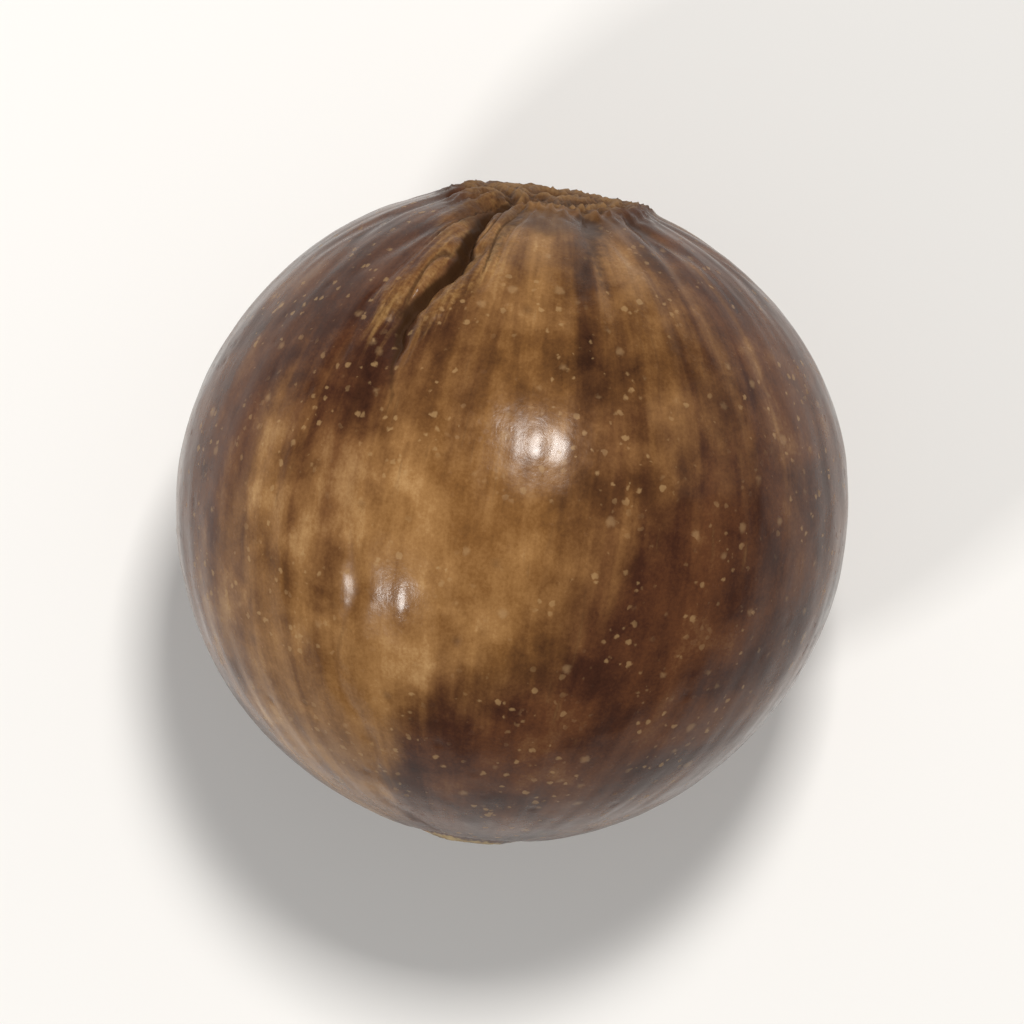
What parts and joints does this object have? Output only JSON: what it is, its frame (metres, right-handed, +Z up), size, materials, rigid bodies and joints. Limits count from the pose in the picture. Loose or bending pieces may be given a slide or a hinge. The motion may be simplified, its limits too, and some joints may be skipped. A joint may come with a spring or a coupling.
{
  "type": "macadamia nut in shell",
  "caption": "Round woody nut in its shell with a suture groove, a ragged attachment scar and a pale pore disc, lying on a small flat spot.",
  "frame": {"origin": "under the middle of the nut, on the small flat spot it lies on", "axes": "+Z up from the surface it lies on, +Y towards the attachment scar, +X to the right seen from above"},
  "size_m": [0.0262, 0.0258, 0.0256],
  "materials": {
    "nut_shell": "smooth woody shell with a satin, naturally waxed gloss, mottled brown"
  },
  "bodies": {
    "root": {"macadamia_nut": "nut_shell"}
  },
  "joints": []
}
